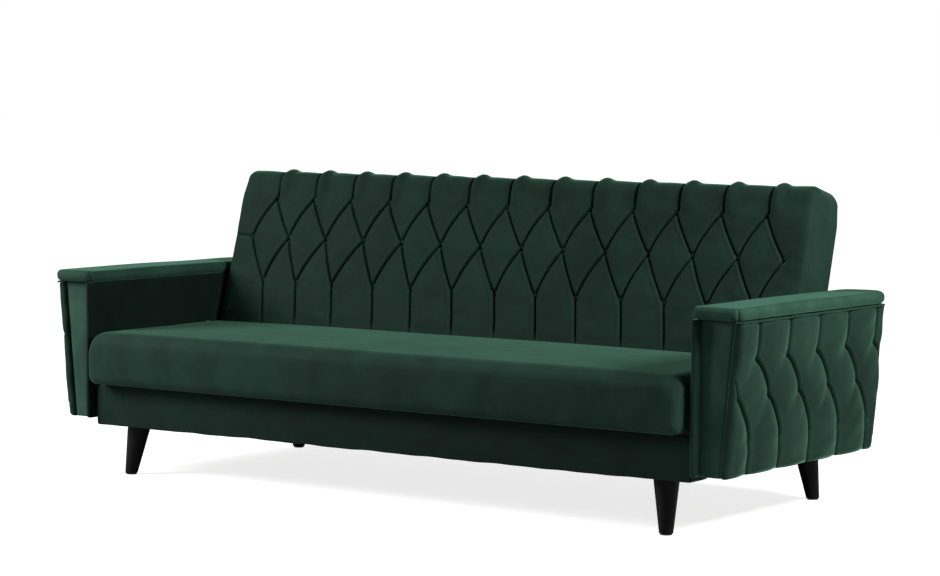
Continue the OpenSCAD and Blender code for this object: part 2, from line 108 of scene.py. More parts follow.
camera = bpy.data.objects.new("camera", bpy.data.cameras.new("camera"))
bpy.context.scene.collection.objects.link(camera)
bpy.context.scene.camera = camera
camera.data.lens, camera.data.sensor_width = 106.65, 36
camera.data.sensor_fit = "HORIZONTAL"
camera.data.clip_start, camera.data.clip_end = 0.1, 200
camera.matrix_world = (
    Matrix.Translation((4.485, -6.2524, 1.1056))
    @ Matrix.Rotation(math.radians(35.408), 4, "Z")
    @ Matrix.Rotation(math.radians(90 - 4.08), 4, "X")
    @ Matrix.Rotation(math.radians(0.347), 4, "Z")
)


# ---------------------------------------------------------------- velvet front of the base
# The bedding box's front board is wrapped in velvet over thin wadding, turned
# under and stapled; its long face is nearly flat, a little loose at the top.
def sockets(group, inputs, outputs):
    """Gives a node group its sockets, from (name, kind) pairs; returns its input and output nodes."""
    for way, pairs in (("INPUT", inputs), ("OUTPUT", outputs)):
        for name, kind in pairs:
            group.interface.new_socket(name=name, in_out=way, socket_type="NodeSocket" + kind)
    return group.nodes.new("NodeGroupInput"), group.nodes.new("NodeGroupOutput")


def velvet_pile_group():
    group = bpy.data.node_groups.new("velvet pile", "ShaderNodeTree")
    given, made = sockets(
        group, (("Place", "Vector"), ("Deep", "Color"), ("Lifted", "Color"), ("Patches", "Float"),
                ("Painted_Shade", "Float"), ("Painted_Highlight", "Float")),
        (("Colour", "Color"), ("Roughness", "Float"), ("Normal", "Vector")))
    nodes, links = group.nodes, group.links

    brushed = nodes.new("ShaderNodeTexNoise")          # where a hand has laid the pile over
    put(brushed, Detail=3.0, Roughness=0.55)
    put(brushed, Distortion=0.8)
    links.new(given.outputs["Place"], brushed.inputs["Vector"])
    links.new(given.outputs["Patches"], brushed.inputs["Scale"])
    pile = nodes.new("ShaderNodeTexNoise")             # single tufts
    put(pile, Scale=1100.0, Detail=2.0)
    links.new(given.outputs["Place"], pile.inputs["Vector"])
    nap = nodes.new("ShaderNodeTexNoise")              # mottling of the cut pile
    put(nap, Scale=90.0, Detail=4.0)
    links.new(given.outputs["Place"], nap.inputs["Vector"])

    def sums(kind, a, b):
        node = nodes.new("ShaderNodeMath")
        node.operation = kind
        for socket, value in zip(node.inputs, (a, b)):
            if isinstance(value, (int, float)):
                socket.default_value = value
            else:
                links.new(value, socket)
        return node.outputs[0]

    tone = nodes.new("ShaderNodeMapRange")
    put(tone, From_Min=0.34, From_Max=0.68)
    links.new(brushed.outputs["Fac"], tone.inputs["Value"])
    fine = sums("MULTIPLY", sums("SUBTRACT", nap.outputs["Fac"], 0.5), 0.55)
    specks = sums("MULTIPLY", sums("SUBTRACT", pile.outputs["Fac"], 0.5), 0.5)
    shade = sums("ADD", sums("ADD", tone.outputs["Result"], fine), specks)
    # painted highlight: the lip mark lightens the pile towards its lifted colour along the raised lips beside the seams
    shade = sums("ADD", shade, sums("MULTIPLY", given.outputs["Painted_Highlight"], 0.9))
    mix = nodes.new("ShaderNodeMix")
    mix.data_type, mix.clamp_factor = "RGBA", True
    links.new(shade, mix.inputs["Factor"])
    links.new(given.outputs["Deep"], mix.inputs["A"])
    links.new(given.outputs["Lifted"], mix.inputs["B"])
    # painted shade: the crease mark darkens the colour almost to black along the seams and creases, standing in for the
    # shade in them
    shadow = nodes.new("ShaderNodeMix")
    shadow.data_type, shadow.clamp_factor = "RGBA", True
    put(shadow, B=(0.0006, 0.0016, 0.0012, 1))
    links.new(sums("MULTIPLY", given.outputs["Painted_Shade"], 0.85), shadow.inputs["Factor"])
    links.new(mix.outputs["Result"], shadow.inputs["A"])
    links.new(shadow.outputs["Result"], made.inputs["Colour"])
    rough = sums("ADD", sums("MULTIPLY", tone.outputs["Result"], 0.12), 0.72)
    links.new(rough, made.inputs["Roughness"])
    bump = nodes.new("ShaderNodeBump")
    put(bump, Distance=0.0006, Strength=0.55)
    links.new(sums("ADD", sums("MULTIPLY", nap.outputs["Fac"], 0.8), sums("MULTIPLY", pile.outputs["Fac"], 0.6)),
              bump.inputs["Height"])
    links.new(bump.outputs["Normal"], made.inputs["Normal"])
    return group


velvet_pile = velvet_pile_group()


def velvet(name, deep, lifted, sheen=0.5):
    """Velvet: its colour deep in the pile and on lifted tips, and how strongly the tips shine."""
    material, nodes, links, shader = blank(name)
    where, cloth = nodes.new("ShaderNodeTexCoord"), nodes.new("ShaderNodeGroup")
    cloth.node_tree = velvet_pile
    links.new(where.outputs["Object"], cloth.inputs["Place"])
    put(cloth, Deep=(*deep, 1), Lifted=(*lifted, 1), Patches=7.0)
    # the crease and lip marks on each piece carry painted shade and a painted highlight into the velvet's colour
    for attribute, socket in (("crease", "Painted_Shade"), ("painted_highlight", "Painted_Highlight")):
        painted_light_and_shade = nodes.new("ShaderNodeAttribute")
        painted_light_and_shade.attribute_name = attribute
        links.new(painted_light_and_shade.outputs["Fac"], cloth.inputs[socket])
    links.new(cloth.outputs["Colour"], shader.inputs["Base Color"])
    links.new(cloth.outputs["Roughness"], shader.inputs["Roughness"])
    links.new(cloth.outputs["Normal"], shader.inputs["Normal"])
    put(shader, Specular_IOR_Level=0.04)
    put(shader, Sheen_Weight=sheen)
    put(shader, Sheen_Roughness=0.30)
    put(shader, Sheen_Tint=(0.21, 0.52, 0.38, 1))
    return material


green_velvet = velvet("emerald velvet", (0.0030, 0.0085, 0.0062), (0.0050, 0.0145, 0.0105))
# the same velvet in lighter and darker copies, as painted light and shade: lighter for the arms' front panels and the
# ties (painted light), less sheen on a lighter base for the seat and the caps (painted shade on their tops, painted
# light on their fronts), darkest for the left arm's inside, turned from the light (painted shade), and darker for the
# base front under the seat (painted shade)
painted_light_velvet = velvet("emerald velvet, lighter as painted light", (0.0090, 0.0235, 0.0175), (0.0140, 0.0365, 0.0268), sheen=0.75)
seat_velvet = velvet("emerald velvet, painted light and shade", (0.0042, 0.0120, 0.0088), (0.0070, 0.0205, 0.0150), sheen=0.20)
cap_velvet = velvet("emerald velvet, painted light and shade on the caps", (0.0064, 0.0185, 0.0134), (0.0104, 0.0290, 0.0210),
                    sheen=0.24)
painted_deep_shade_velvet = velvet("emerald velvet, darkest as painted shade", (0.0012, 0.0034, 0.0026), (0.0020, 0.0056, 0.0042), sheen=0.18)
painted_shade_velvet = velvet("emerald velvet, darker as painted shade", (0.0024, 0.0068, 0.0052), (0.0040, 0.0114, 0.0084), sheen=0.38)


def spread(low, high, step, edge=0.0, edge_cuts=0):
    """Cut positions from low to high, closer together over the rounded edges."""
    inner = np.linspace(low + edge, high - edge, max(2, int(round((high - low - 2 * edge) / step)) + 1))
    if not edge_cuts:
        return inner
    ends = np.linspace(0, edge, edge_cuts + 1)[:-1]
    return np.concatenate([low + ends, inner, high - ends[::-1]])


def block_skin(name, xs, ys, zs, shape, material):
    """A closed skin of quads on the cuts xs, ys, zs (mm); shape() puts its points in place and may return marks."""
    xs, ys, zs = map(np.asarray, (xs, ys, zs))
    i, j, k = np.meshgrid(range(len(xs)), range(len(ys)), range(len(zs)), indexing="ij")
    skin = (i == 0) | (i == len(xs) - 1) | (j == 0) | (j == len(ys) - 1) | (k == 0) | (k == len(zs) - 1)
    number = np.full(skin.shape, -1)
    number[skin] = np.arange(skin.sum())
    lattice = np.stack([xs[i[skin]], ys[j[skin]], zs[k[skin]]], 1)
    faces = []
    for sheet, turned in (
        (number[-1], False), (number[0], True), (number[:, -1], True), (number[:, 0], False), (number[:, :, -1],
                                                                                               False), (number[:, :,
                                                                                                               0], True),
    ):
        quads = np.stack([sheet[:-1, :-1], sheet[1:, :-1], sheet[1:, 1:], sheet[:-1, 1:]], -1).reshape(-1, 4)
        faces.append(quads[:, ::-1] if turned else quads)
    faces = np.concatenate(faces)
    points, lines = shape(lattice)
    mesh = bpy.data.meshes.new(name)
    mesh.vertices.add(len(points))
    mesh.vertices.foreach_set("co", (np.asarray(points) * 0.001).astype(np.float32).ravel())
    mesh.loops.add(faces.size)
    mesh.loops.foreach_set("vertex_index", faces.astype(np.int32).ravel())
    mesh.polygons.add(len(faces))
    mesh.polygons.foreach_set("loop_start", np.arange(0, faces.size, 4, dtype=np.int32))
    mesh.update(calc_edges=True)
    mesh.validate()
    mesh.shade_smooth()
    for mark, values in (lines or {}).items():
        layer = mesh.attributes.new(mark, "FLOAT", "POINT")
        layer.data.foreach_set("value", np.asarray(values, np.float32))
    mesh.materials.append(material)
    piece = bpy.data.objects.new(name, mesh)
    bpy.context.scene.collection.objects.link(piece)
    return piece


def softened(points, low, high, radius):
    """Rounds the edges of the block low..high by radius (one number, or one per point and axis); also gives the way out."""
    radius = np.broadcast_to(np.asarray(radius, float), points.shape)
    core = np.clip(points, np.asarray(low) + radius, np.asarray(high) - radius)
    out = (points - core) / radius
    out /= np.maximum(np.linalg.norm(out, axis=1, keepdims=True), 1e-9)
    way = out / radius
    way /= np.maximum(np.linalg.norm(way, axis=1, keepdims=True), 1e-9)
    return core + out * radius, way


def ripple(points, size, seed):
    """Smooth seeded unevenness from about -1 to 1 at each point, with bumps about size mm across."""
    total = np.zeros(len(points))
    turn = np.random.default_rng(seed)
    for _ in range(6):
        way = turn.normal(size=3)
        way *= 2 * math.pi / (size * turn.uniform(0.8, 2.4) * np.linalg.norm(way))
        total += np.sin(points @ way + turn.uniform(0, 2 * math.pi))
    return total / 2.4


cover_low, cover_high = (np.array(corner) * 1000 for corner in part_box("front_cover"))
board_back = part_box("box_front")[1].y * 1000
wrap_low, wrap_high = cover_low - (1.6, 0, 1.6), np.array((cover_high[0] + 1.6, board_back, cover_high[2] + 1.6))


def front_cover_shape(points):
    placed, way = softened(points, wrap_low, wrap_high, (5.0, 2.6, 5.0))
    # the turned edges: round both ends, over the top of the board, and under it
    turned = points[:, 1] > cover_high[1] + 0.05
    over, ends = points[:, 2] > cover_high[2] - 0.1, np.abs(points[:, 0]) > cover_high[0] - 0.1
    reach = np.where(ends & ~over, 60.0, np.where(over, 2.0, -5.5))
    share = np.clip((points[:, 1] - cover_high[1]) / (wrap_high[1] - cover_high[1]), 0, 1)
    placed[:, 1] += np.where(turned, reach * share, 0)
    hollow = (points[:, 1] > wrap_high[1] - 0.05) & ~ends & ~over & (points[:, 2] > cover_low[2] + 0.1)
    placed[hollow] = points[hollow]
    placed[hollow, 1] = cover_high[1] - 0.1
    front = np.clip(-way[:, 1], 0, 1)
    across = np.clip((placed[:, 2] - cover_low[2]) / (cover_high[2] - cover_low[2]), 0, 1)
    loose = 1.6 * np.sin(math.pi * across) + 1.1 * ripple(placed * (1, 1, 0.5), 150, 4) * across
    placed[:, 1] -= front * np.maximum(loose, 0)
    placed[:, 2] -= np.clip(-way[:, 2], 0, 1) * 1.0 * (1 + ripple(placed, 90, 5))
    # a fat roll of wadding over the top of the board, almost up to the seat
    roll = np.clip((points[:, 2] - cover_high[2] + 6) / 6, 0,
                   1) * np.clip(1 - np.abs(points[:, 1] - (cover_high[1] - 1)) / 12, 0, 1) ** 0.5
    placed[:, 2] += 6.5 * roll * (1 - np.clip((np.abs(points[:, 0]) - cover_high[0] + 12) / 12, 0, 1))
    return placed, None


# the base front takes the darker velvet copy: painted shade under the seat's overhang
base_cover = block_skin(
    "base_front_velvet",
    np.concatenate([[wrap_low[0], cover_low[0] - 0.05], spread(cover_low[0] + 0.05, cover_high[0] - 0.05, 10, 5, 3),
                    [cover_high[0] + 0.05, wrap_high[0]]]),
    np.concatenate([spread(wrap_low[1], cover_high[1], 1.5), spread(cover_high[1] + 4, wrap_high[1], 4)]),
    np.concatenate([[wrap_low[2], cover_low[2] + 0.05], spread(cover_low[2] + 0.2, cover_high[2] - 0.2, 6, 5, 3),
                    [cover_high[2] - 0.05, wrap_high[2]]]),
    front_cover_shape, painted_shade_velvet)
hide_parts("front_cover")
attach(base_cover, "base")


# ---------------------------------------------------------------- bedding box
# Furniture board, faced in brown at the rear and the ends, screwed into an
# open-topped box that holds the bedding, with a hardboard floor, pine corner
# blocks and a pine rail across the middle of its floor.
def grain_group():
    group = bpy.data.node_groups.new("wood grain", "ShaderNodeTree")
    given, made = sockets(
        group, (("Place", "Vector"), ("Pale", "Color"), ("Dark", "Color")),
        (("Colour", "Color"), ("Height", "Float")))
    nodes, links = group.nodes, group.links
    bend = nodes.new("ShaderNodeTexNoise")
    put(bend, Scale=9.0, Detail=5.0)
    links.new(given.outputs["Place"], bend.inputs["Vector"])
    rings = nodes.new("ShaderNodeTexWave")
    rings.wave_type, rings.bands_direction = "BANDS", "Y"
    put(rings, Scale=20.0, Distortion=5.0)
    put(rings, Detail=3.0)
    links.new(given.outputs["Place"], rings.inputs["Vector"])
    both = nodes.new("ShaderNodeMath")
    both.operation = "MULTIPLY_ADD"
    links.new(bend.outputs["Fac"], both.inputs[0])
    both.inputs[1].default_value = 0.7
    half = nodes.new("ShaderNodeMath")
    half.operation = "MULTIPLY"
    links.new(rings.outputs["Fac"], half.inputs[0])
    half.inputs[1].default_value = 0.45
    links.new(half.outputs[0], both.inputs[2])
    mix = nodes.new("ShaderNodeMix")
    mix.data_type = "RGBA"
    links.new(both.outputs[0], mix.inputs["Factor"])
    links.new(given.outputs["Pale"], mix.inputs["A"])
    links.new(given.outputs["Dark"], mix.inputs["B"])
    links.new(mix.outputs["Result"], made.inputs["Colour"])
    links.new(both.outputs[0], made.inputs["Height"])
    return group


wood_grain = grain_group()


def wood(name, pale, dark, roughness, stretch, depth, gloss=0.5):
    material, nodes, links, shader = blank(name)
    where, mapping, grain, bump = (nodes.new("ShaderNode" + kind) for kind in ("TexCoord", "Mapping", "Group", "Bump"))
    grain.node_tree = wood_grain
    put(mapping, Scale=stretch)
    links.new(where.outputs["Object"], mapping.inputs["Vector"])
    links.new(mapping.outputs["Vector"], grain.inputs["Place"])
    put(grain, Pale=(*pale, 1), Dark=(*dark, 1))
    links.new(grain.outputs["Colour"], shader.inputs["Base Color"])
    put(bump, Distance=depth, Strength=0.5)
    links.new(grain.outputs["Height"], bump.inputs["Height"])
    links.new(bump.outputs["Normal"], shader.inputs["Normal"])
    put(shader, Roughness=roughness)
    put(shader, Specular_IOR_Level=gloss)
    return material


def give(material, *names):
    for name in names:
        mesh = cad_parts[name].data
        mesh.materials.clear()
        mesh.materials.append(material)


raw_board = wood("raw furniture board", (0.42, 0.30, 0.18), (0.26, 0.17, 0.09), 0.75, (14, 14, 14), 0.0004)
pine = wood("planed pine", (0.58, 0.41, 0.22), (0.38, 0.23, 0.10), 0.6, (0.6, 6, 6), 0.0003)
give(raw_board, "box_front")
give(wood("brown laminated board", (0.040, 0.026, 0.017), (0.026, 0.017, 0.011), 0.5, (0.8, 7, 7), 0.0002),
     "box_rear", "box_left", "box_right")
# painted shade: the hardboard floor is given a very dark brown so the box's inside stays dark through the gap under the
# seat
give(wood("hardboard darkened as painted shade", (0.020, 0.012, 0.007), (0.012, 0.007, 0.004), 0.6, (9, 9, 9), 0.0003), "box_floor")
give(pine, "corner_blocks", "floor_rail")


# ---------------------------------------------------------------- legs
# Four turned tapered legs, splayed outwards, in black satin lacquer, each on a
# zinc-plated plate held by four screws, with a moulded glide under its foot.
black_lacquer = wood("black satin lacquer", (0.0034, 0.0034, 0.0038), (0.0020, 0.0020, 0.0024), 0.45, (5, 5, 0.8),
                     0.0001, gloss=0.06)
give(black_lacquer, "leg_front_left", "leg_front_right", "leg_rear_left", "leg_rear_right")


def metal(name, light, dark, roughness):
    material, nodes, links, shader = blank(name)
    where, spots, mix, rough = (nodes.new("ShaderNode" + kind) for kind in ("TexCoord", "TexNoise", "Mix", "MapRange"))
    put(spots, Scale=120.0, Detail=4.0)
    links.new(where.outputs["Object"], spots.inputs["Vector"])
    mix.data_type = "RGBA"
    put(mix, A=(*dark, 1), B=(*light, 1))
    links.new(spots.outputs["Fac"], mix.inputs["Factor"])
    links.new(mix.outputs["Result"], shader.inputs["Base Color"])
    put(rough, To_Min=roughness - 0.08, To_Max=roughness + 0.12)
    links.new(spots.outputs["Fac"], rough.inputs["Value"])
    links.new(rough.outputs["Result"], shader.inputs["Roughness"])
    put(shader, Metallic=1.0)
    return material


zinc = metal("zinc-plated steel", (0.62, 0.62, 0.60), (0.40, 0.41, 0.42), 0.38)
give(zinc, "leg_plates", "leg_screws")


def speckled(name, colour, lighter, roughness, scale, depth):
    """Moulded plastic, or felted cloth at a larger scale and depth."""
    material, nodes, links, shader = blank(name)
    where, grit, mix, bump = (nodes.new("ShaderNode" + kind) for kind in ("TexCoord", "TexNoise", "Mix", "Bump"))
    put(grit, Scale=scale, Detail=3.0)
    links.new(where.outputs["Object"], grit.inputs["Vector"])
    mix.data_type = "RGBA"
    put(mix, A=(*colour, 1), B=(*lighter, 1))
    links.new(grit.outputs["Fac"], mix.inputs["Factor"])
    links.new(mix.outputs["Result"], shader.inputs["Base Color"])
    put(bump, Distance=depth, Strength=0.6)
    links.new(grit.outputs["Fac"], bump.inputs["Height"])
    links.new(bump.outputs["Normal"], shader.inputs["Normal"])
    put(shader, Roughness=roughness)
    return material


give(speckled("black moulded plastic", (0.012, 0.012, 0.012), (0.022, 0.022, 0.022), 0.55, 700.0, 0.0001), "foot_glides")


# ---------------------------------------------------------------- sofa-bed mechanism
# Pine rails carry a steel plate at each end, rails and plates darkened nearly black as painted shade where they show in
# the gaps; the seat and the back swing on its two pins by flat levers bolted to their frames.
painted_shade_pine = wood("pine darkened as painted shade", (0.020, 0.014, 0.010), (0.010, 0.007, 0.005), 0.7, (0.6, 6, 6), 0.0003)
give(painted_shade_pine, "side_rail_left", "side_rail_right")
give(metal("steel darkened as painted shade", (0.030, 0.030, 0.032), (0.018, 0.018, 0.020), 0.5), "mechanism_plate_left",
     "mechanism_plate_right")
give(zinc, "plate_screws", "seat_pins", "back_pins",
     "seat_lever_left", "seat_lever_right", "seat_lever_bolts", "back_lever_left", "back_lever_right", "back_lever_bolts",
     "arm_washers", "arm_bolts")


# ---------------------------------------------------------------- arms
# Each arm is a tapered pine frame bolted to the box. A thin pad covers its
# inside, flat velvet panels close its ends, and its outside is a pleated pad.
give(pine, "arm_frame_left", "arm_frame_right")
arm_foot, arm_top = 159.0, 548.0
arm_back = 377.5                                        # rear of the pads and the cap
inner_face, inner_back, inner_front = 994.0, 1014.0, -416.5
panel_width, pad_front, pad_thick = 94.0, -402.5, 24.0  # the end panels before they taper, and the outer pad
core_foot, core_top = 1070.0, 1108.0                    # outside of the frame at the foot and under the cap


def core_side(height):
    return core_foot + (core_top - core_foot) * (height - arm_foot) / (arm_top - arm_foot)


def side_of(points, side):
    points = points.copy()
    points[:, 0] *= side
    return points


def arm_piece(kind, name, side, xs, ys, zs, shape, cloth=green_velvet):
    """A right-hand piece as drawn; for the left arm its cuts and its points are mirrored, so its faces still point outwards."""
    def placed(lattice):
        points, marks = shape(side_of(lattice, side))
        return side_of(points, side), marks
    cuts = xs if side > 0 else -np.asarray(xs)[::-1]
    hand = "right" if side > 0 else "left"
    piece = block_skin(f"{name}_{hand}", cuts, ys, zs, placed, cloth)
    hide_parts(f"{kind}_{hand}")
    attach(piece, "base")


def inner_pad_shape(points):
    radius = np.stack([np.full(len(points), 9.5), np.full(len(points), 9.5), np.where(points[:, 2] > 400, 1.2, 6.0)], 1)
    placed, way = softened(points, (inner_face, inner_front, arm_foot), (inner_back, arm_back, arm_top), radius)
    inward = np.clip(-way[:, 0], 0, 1)
    near_edge = np.minimum((points[:, 2] - arm_foot) / 45, (points[:, 1] - inner_front) / 45)
    placed[:, 0] += inward * 3.0 * np.clip(1 - near_edge, 0, 1) ** 2
    placed[:, 0] += inward * np.maximum(0, ripple(placed, 210, 11)) * 0.8
    # the pad's front roll, pulled in a little where the cap and the hem hold it
    roll = np.clip(-way[:, 1], 0, 1)
    height = (placed[:, 2] - arm_foot) / (arm_top - arm_foot)
    placed[:, 1] -= roll * (2.0 * np.sin(math.pi * height) + 1.2 * ripple(placed, 120, 12))
    return placed, None


def end_panel_shape(face, back, seed):
    low_y, high_y = min(face, back), max(face, back)
    outward = -1 if face < back else 1

    def shape(points):
        placed, way = softened(points, (0.0, low_y, arm_foot), (panel_width, high_y, arm_top), (3.0, 3.0, 3.0))
        across = placed[:, 0] / panel_width
        height = (placed[:, 2] - arm_foot) / (arm_top - arm_foot)
        showing = np.clip(way[:, 1] * outward, 0, 1)
        swell = 4.0 * np.sin(math.pi * np.clip(across, 0, 1)) * np.sin(math.pi * np.clip(height, 0, 1)) ** 0.5
        folds = 0.5 * ripple(placed * (1, 1, 0.12), 42, seed) * np.sin(math.pi * np.clip(across, 0, 1))
        placed[:, 1] += outward * showing * (swell + folds)
        width = core_side(placed[:, 2]) - inner_back
        placed[:, 0] = inner_back + across * width
        return placed, None
    return shape


# The outer pad: velvet laid over wadding in pleats, held at three rows of tied
# points half a column apart; each pleat sweeps backwards on its way down.
pleat_pitch = 155.0
pleat_columns = [-301.5 + pleat_pitch * n for n in range(-1, 6)]
tie_rows = (451.0, 357.0, 244.0)


def swept(start, end, turns, bow=0.0):
    """Points along a pleat from start to end, which drops sideways first and then falls straight."""
    t = np.linspace(0, 1, turns + 1)
    side = start[0] + (end[0] - start[0]) * (0.5 * t + 0.5 * (1 - (1 - t) ** 2)) + bow * np.sin(math.pi * t)
    return np.stack([side, start[1] + (end[1] - start[1]) * t], 1)


arm_pleats, arm_creases, arm_ties = [], [], []
for column in pleat_columns:
    step = pleat_pitch / 2
    arm_pleats += [
        np.array([(column, 560.0), (column + 2, 500.0), (column, tie_rows[0])]),
        swept((column, tie_rows[0]), (column + step, tie_rows[1]), 8),
        swept((column + step, tie_rows[1]), (column + 2 * step, tie_rows[2]), 8),
        np.array([(column, tie_rows[2]), (column + 2, 200.0), (column + 1, 150.0)]),
    ]
    arm_creases += [
        swept((column, tie_rows[0]), (column - step, tie_rows[1]), 6, 4.0),
        swept((column + step, tie_rows[1]), (column, tie_rows[2]), 6, 4.0),
    ]
    arm_ties += [(column, tie_rows[0]), (column + step, tie_rows[1]), (column, tie_rows[2])]


def nearest(lines, points, chunk=40000):
    """Distance in mm from each point of a flat pattern to the nearest line, and which side of it the point is on."""
    starts = np.concatenate([line[:-1] for line in lines])
    runs = np.concatenate([line[1:] - line[:-1] for line in lines])
    far, side = np.empty(len(points)), np.empty(len(points))
    for first in range(0, len(points), chunk):
        part = points[first:first + chunk]
        away = part[:, None] - starts[None]
        along = np.clip((away * runs).sum(-1) / (runs ** 2).sum(-1), 0, 1)
        gap = away - along[..., None] * runs
        distance = np.sqrt((gap ** 2).sum(-1))
        best = distance.argmin(1)
        rows = np.arange(len(part))
        far[first:first + chunk] = distance[rows, best]
        run, off = runs[best], gap[rows, best]
        side[first:first + chunk] = np.sign(run[:, 0] * off[:, 1] - run[:, 1] * off[:, 0])
    return far, side


def hump(distance, width):
    """1 on a line, fading out over about width mm on both sides of it."""
    return np.exp(-(distance / width) ** 2)


def blown(name, low, high, step, lines, ties, slack, force, eased):
    """Heights (mm) of velvet sewn down along lines and at ties and pushed up by its filling, by cloth simulation."""
    us, vs = np.arange(low[0], high[0] + step, step), np.arange(low[1], high[1] + step, step)
    u, v = np.meshgrid(us, vs, indexing="ij")
    pattern = np.stack([u.ravel(), v.ravel()], 1)
    sewn = nearest(lines, pattern)[0] < step * 0.75
    for place in ties:
        sewn |= np.hypot(pattern[:, 0] - place[0], pattern[:, 1] - place[1]) < step
    rim = (u == us[0]) | (u == us[-1]) | (v == vs[0]) | (v == vs[-1])
    sewn |= rim.ravel()
    number = np.arange(len(pattern)).reshape(u.shape)
    faces = np.stack([number[:-1, :-1], number[1:, :-1], number[1:, 1:], number[:-1, 1:]], -1).reshape(-1, 4)
    lift = 3.0 * (1 - hump(nearest(lines, pattern)[0], 25))
    mesh = bpy.data.meshes.new(name)
    mesh.from_pydata(np.stack([pattern[:, 0], pattern[:, 1], lift], 1) * 0.001, [], faces.tolist())
    sheet = bpy.data.objects.new(name, mesh)
    bpy.context.scene.collection.objects.link(sheet)
    sheet.vertex_groups.new(name="sewn").add(np.flatnonzero(sewn).tolist(), 1.0, "REPLACE")
    cloth = sheet.modifiers.new("filling", "CLOTH")
    cloth.settings.quality, cloth.settings.mass, cloth.settings.air_damping = 6, 0.25, 4.0
    cloth.settings.tension_stiffness = cloth.settings.compression_stiffness = 22.0
    cloth.settings.shear_stiffness, cloth.settings.bending_stiffness = 8.0, 0.6
    cloth.settings.vertex_group_mass = "sewn"
    cloth.settings.shrink_min = -slack
    cloth.settings.use_pressure, cloth.settings.uniform_pressure_force = True, force
    cloth.settings.effector_weights.gravity = 0.0
    cloth.collision_settings.use_collision = False
    cloth.point_cache.frame_start, cloth.point_cache.frame_end = 1, 20
    for step_number in range(1, 21):
        bpy.context.scene.frame_set(step_number)
    seen = sheet.evaluated_get(bpy.context.evaluated_depsgraph_get())
    settled = np.empty(len(pattern) * 3, np.float32)
    seen.data.vertices.foreach_get("co", settled)
    rise = np.clip(np.abs(settled.reshape(-1, 3)[:, 2]) * 1000, 0, 28).reshape(u.shape)
    for _ in range(eased):                             # the wadding under the velvet fills its finest wrinkles
        rise[1:-1, 1:-1] = (rise[1:-1, 1:-1] + rise[:-2, 1:-1] + rise[2:, 1:-1] + rise[1:-1, :-2] + rise[1:-1, 2:]) / 5
    bpy.context.scene.frame_set(1)
    bpy.data.objects.remove(sheet)
    return us, vs, rise


def height_on(heights, pattern):
    """The blown height at each pattern point, between the simulated points."""
    us, vs, rise = heights
    a = np.clip((pattern[:, 0] - us[0]) / (us[1] - us[0]), 0, len(us) - 1.001)
    b = np.clip((pattern[:, 1] - vs[0]) / (vs[1] - vs[0]), 0, len(vs) - 1.001)
    i, j = a.astype(int), b.astype(int)
    a, b = a - i, b - j
    low = rise[i, j] * (1 - a) + rise[i + 1, j] * a
    high = rise[i, j + 1] * (1 - a) + rise[i + 1, j + 1] * a
    return low * (1 - b) + high * b


arm_heights = blown("arm_velvet_filling", (-440, 120), (420, 580), 6.5, arm_pleats, arm_ties,
                                            0.02, 6.0, 7)


def outer_pad_shape(points):
    radius = np.stack([np.full(len(points), 11.0), np.full(len(points), 15.0), np.full(len(points), 9.0)], 1)
    placed, way = softened(points, (0.0, pad_front, arm_foot), (pad_thick, arm_back, arm_top), radius)
    outward = np.clip(way[:, 0], 0, 1)
    pattern = np.stack([points[:, 1], points[:, 2]], 1)
    pleat, side = nearest(arm_pleats, pattern)
    crease, _ = nearest(arm_creases, pattern)
    tie = np.sqrt(((pattern[:, None] - np.array(arm_ties)[None]) ** 2).sum(-1)).min(1)
    puff = 1 - (1 - np.clip(pleat / 66, 0, 1)) ** 2.6
    if arm_heights:
        filled = height_on(arm_heights, pattern) / np.percentile(arm_heights[2], 97)
        puff = 0.5 * puff + 0.5 * filled * (1 - hump(pleat, 6))
    soft = 1 - 0.20 * hump(crease, 24)
    height = (points[:, 2] - arm_foot) / (arm_top - arm_foot)
    belly = 0.62 + 0.38 * np.sin(math.pi * np.clip(height * 1.02, 0, 1)) ** 0.8
    rise = -3.5 + 17.0 * puff * soft * belly + 1.6 * hump(pleat - 8, 5) * (side > 0) - 11.0 * hump(pleat, 3.8)
    rise -= 5.5 * hump(tie, 11)
    rise += 1.1 * ripple(points, 70, 21) * puff
    rise -= 6.0 * hump(arm_top - points[:, 2], 9)
    edges = np.clip((points[:, 1] - pad_front) / 40, 0, 1) * np.clip((arm_back - points[:, 1]) / 34, 0, 1)
    rise = rise * (0.35 + 0.65 * edges) + 3.0 * (1 - edges) * (height > 0.1)
    # rounded in plan at the back, to follow the cap
    bend = 30.0 + 18.0 * height
    past = np.clip((points[:, 1] - (arm_back - bend)) / bend, 0, 0.985)
    rise -= np.minimum(bend * (1 - np.sqrt(1 - past ** 2)), 25.0)
    placed[:, 0] += outward * rise
    placed[:, 2] += np.clip(-way[:, 2], 0, 1) * (1.5 - 3.0 * puff)          # scalloped hem
    # pleats run on round the front and back edges
    ends = np.clip(np.abs(way[:, 1]) - 0.2, 0, 1)
    placed[:, 1] += np.sign(way[:, 1]) * ends * (1.5 * ripple(points * (0.2, 0.2, 1), 48, 22) - 0.8)
    placed[:, 0] += core_side(placed[:, 2])
    # painted shade along the pleats and faintly along the creases, made uneven at random, and a painted highlight on
    # the lip beside each pleat, strongest near the ties
    marks = outward > 0.05
    painted_light_and_shade = np.clip(0.85 + 0.3 * ripple(points, 60, 23), 0.4, 1)
    dark = hump(pleat, 4.2) * marks * painted_light_and_shade + 0.08 * hump(crease, 5) * marks
    light = hump(pleat - 7, 4) * (side > 0) * marks * np.clip(0.45 + hump(tie, 16), 0, 1)
    return placed, {"crease": np.clip(dark, 0, 1), "painted_highlight": light}


# The cap: a soft rounded board over the whole arm, with rounder corners at the
# back, and a thin welt under its outer edge.
cap_low, cap_high = np.array((992.0, -419.5, arm_top)), np.array((1138.0, arm_back, 582.0))


